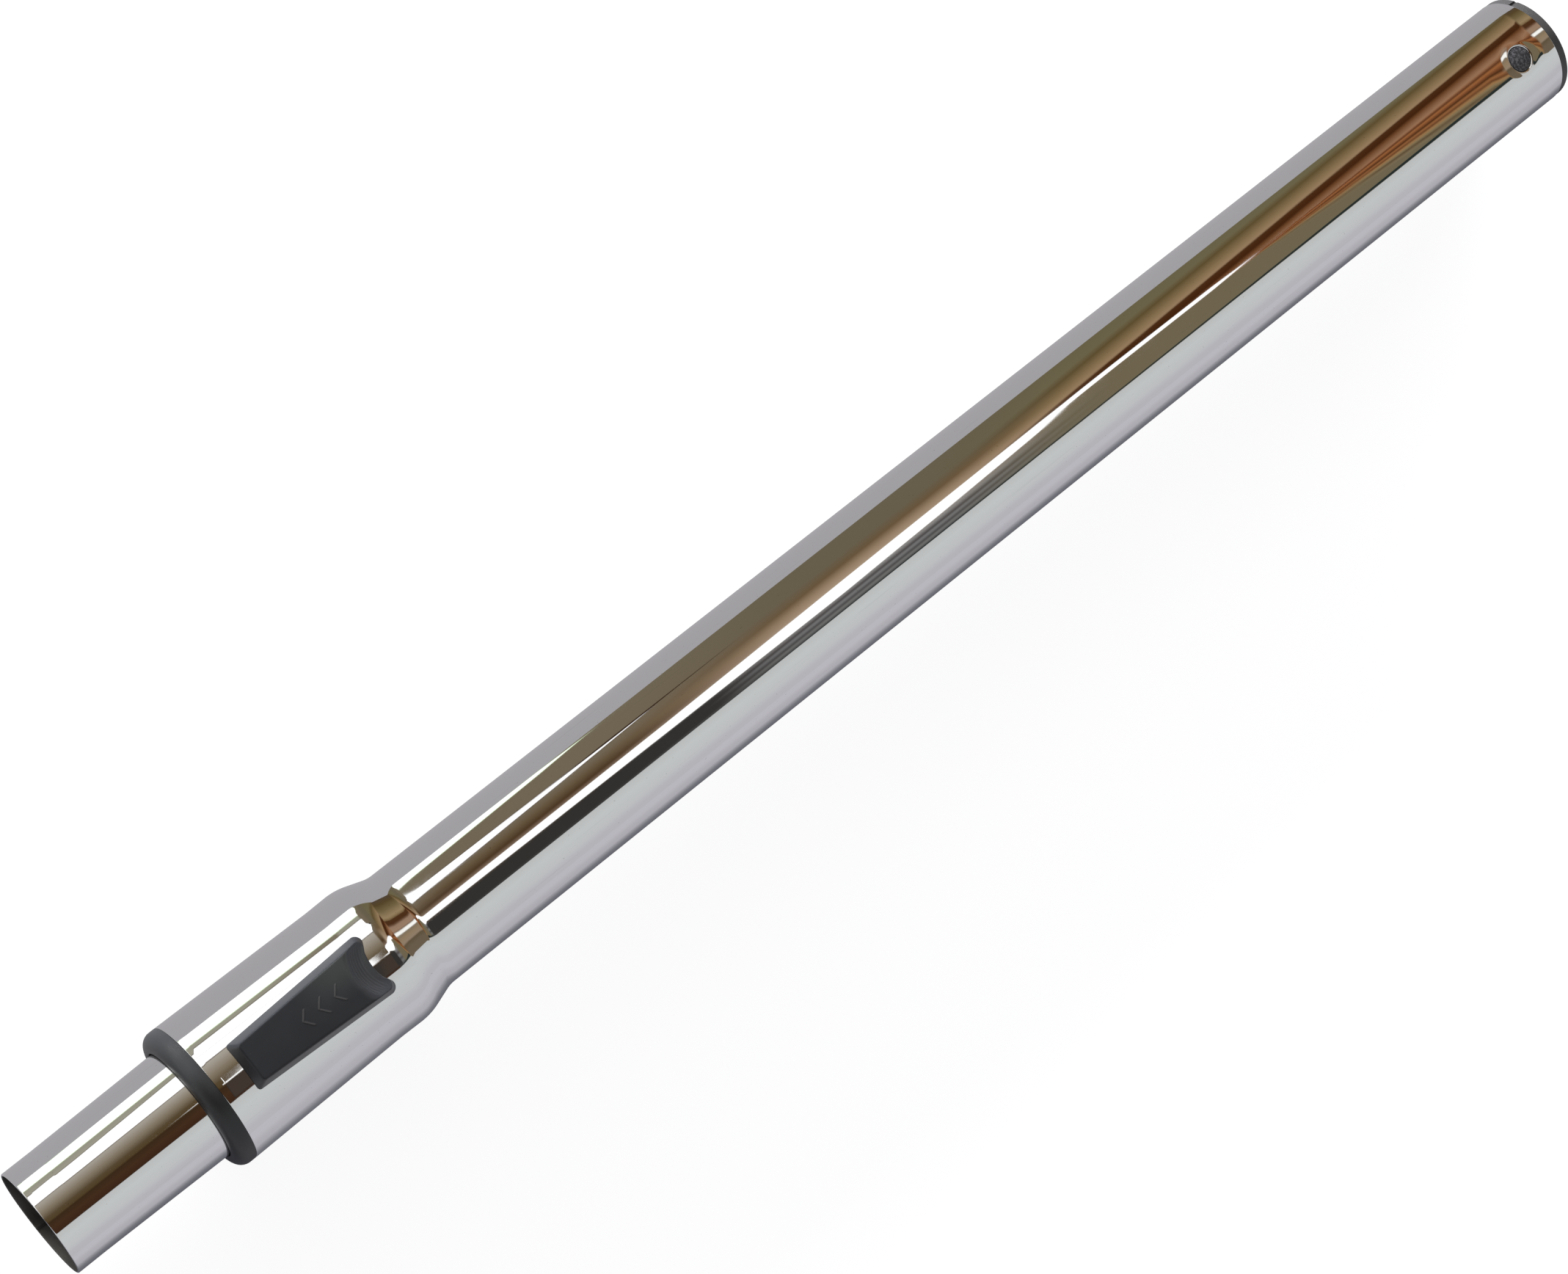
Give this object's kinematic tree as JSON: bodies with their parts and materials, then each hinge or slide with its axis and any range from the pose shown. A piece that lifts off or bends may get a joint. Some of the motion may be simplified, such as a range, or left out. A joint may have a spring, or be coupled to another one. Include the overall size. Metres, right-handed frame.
{
  "type": "telescopic vacuum wand",
  "caption": "Chromed telescopic vacuum cleaner wand with a sliding lock button, a collar, a lined socket end and a tapered spigot end, shown collapsed.",
  "frame": {"origin": "centre of the socket's mouth, where the hose handle's spigot enters", "axes": "+X along the wand towards the floor head, +Z out of the lock button"},
  "size_m": [0.5799, 0.0428, 0.0475],
  "materials": {
    "chromed_steel": "mirror",
    "black_plastic": "satin",
    "natural_plastic": "satin",
    "steel": "satin",
    "black_rubber": "matte"
  },
  "bodies": {
    "wand_outer": {"outer_tube": "chromed_steel", "socket_liner": "black_plastic", "guide_sleeve": "natural_plastic", "roller_cage": "steel", "end_collar": "black_plastic", "wiper_ring": "black_rubber", "stop_buffer": "black_rubber"},
    "wand_inner": {"inner_tube": "chromed_steel", "tail_shell_left": "natural_plastic", "tail_shell_right": "natural_plastic", "tail_seal": "black_rubber"},
    "button_group": {"lock_slide": "black_plastic", "lock_button": "black_plastic", "return_spring": "steel"},
    "roller": {"lock_roller": "steel"}
  },
  "joints": [
    {"name": "telescope", "type": "slide", "parent": "wand_outer", "child": "wand_inner", "axis": [1, 0, 0], "range_m": [0, 0.396]},
    {"name": "button_push", "type": "slide", "parent": "wand_outer", "child": "button_group", "axis": [1, 0, 0], "range_m": [0, 0.006], "stiffness_N_per_m": 700, "springref_m": -0.006, "deforming": ["return_spring"]},
    {"name": "roller_lift", "type": "slide", "parent": "wand_outer", "child": "roller", "axis": [0, 0, 1], "range_m": [0, 0.0012]}
  ],
  "couplings": [
    {"joint": "roller_lift", "follows": "button_push", "ratio": 0.2}
  ]
}
